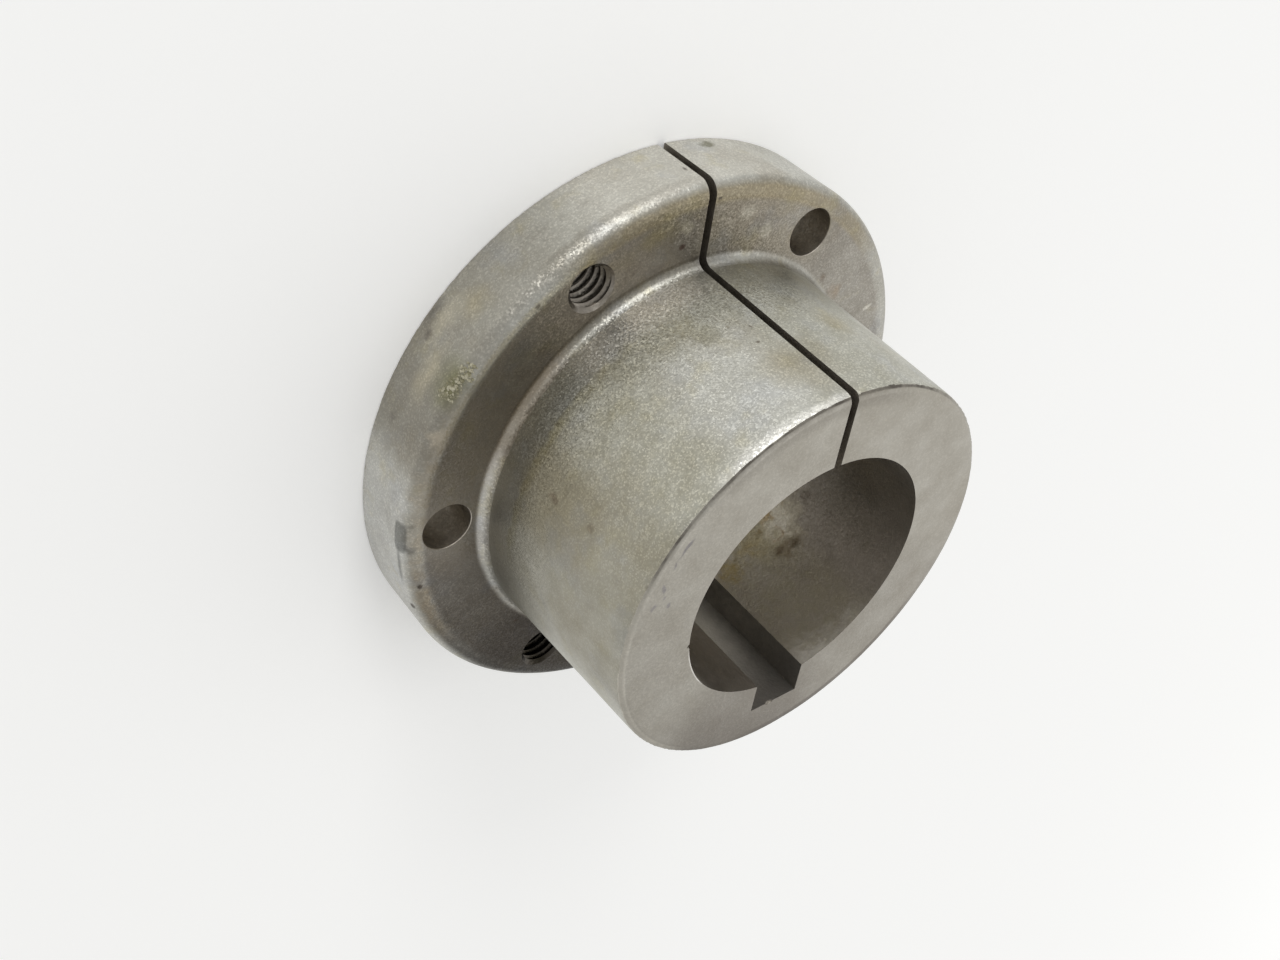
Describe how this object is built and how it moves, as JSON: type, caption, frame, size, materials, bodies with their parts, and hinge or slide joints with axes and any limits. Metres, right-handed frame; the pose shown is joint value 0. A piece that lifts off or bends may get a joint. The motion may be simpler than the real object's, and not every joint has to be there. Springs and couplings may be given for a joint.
{
  "type": "quick disconnect bushing",
  "caption": "Split taper bushing with a drilled round flange and a keyed bore, which clamps a pulley or sprocket hub to a shaft when its screws draw it up.",
  "frame": {"origin": "centre of the flange's back face, on the bore's axis", "axes": "+Z along the bore towards the nose of the taper, +Y towards the saw cut, -Y towards the keyway"},
  "size_m": [0.0984, 0.0984, 0.0479],
  "materials": {
    "bushing_metal": "satin grey, grainy on the taper, with oil stains"
  },
  "bodies": {
    "root": {"bushing": "bushing_metal"}
  },
  "joints": []
}
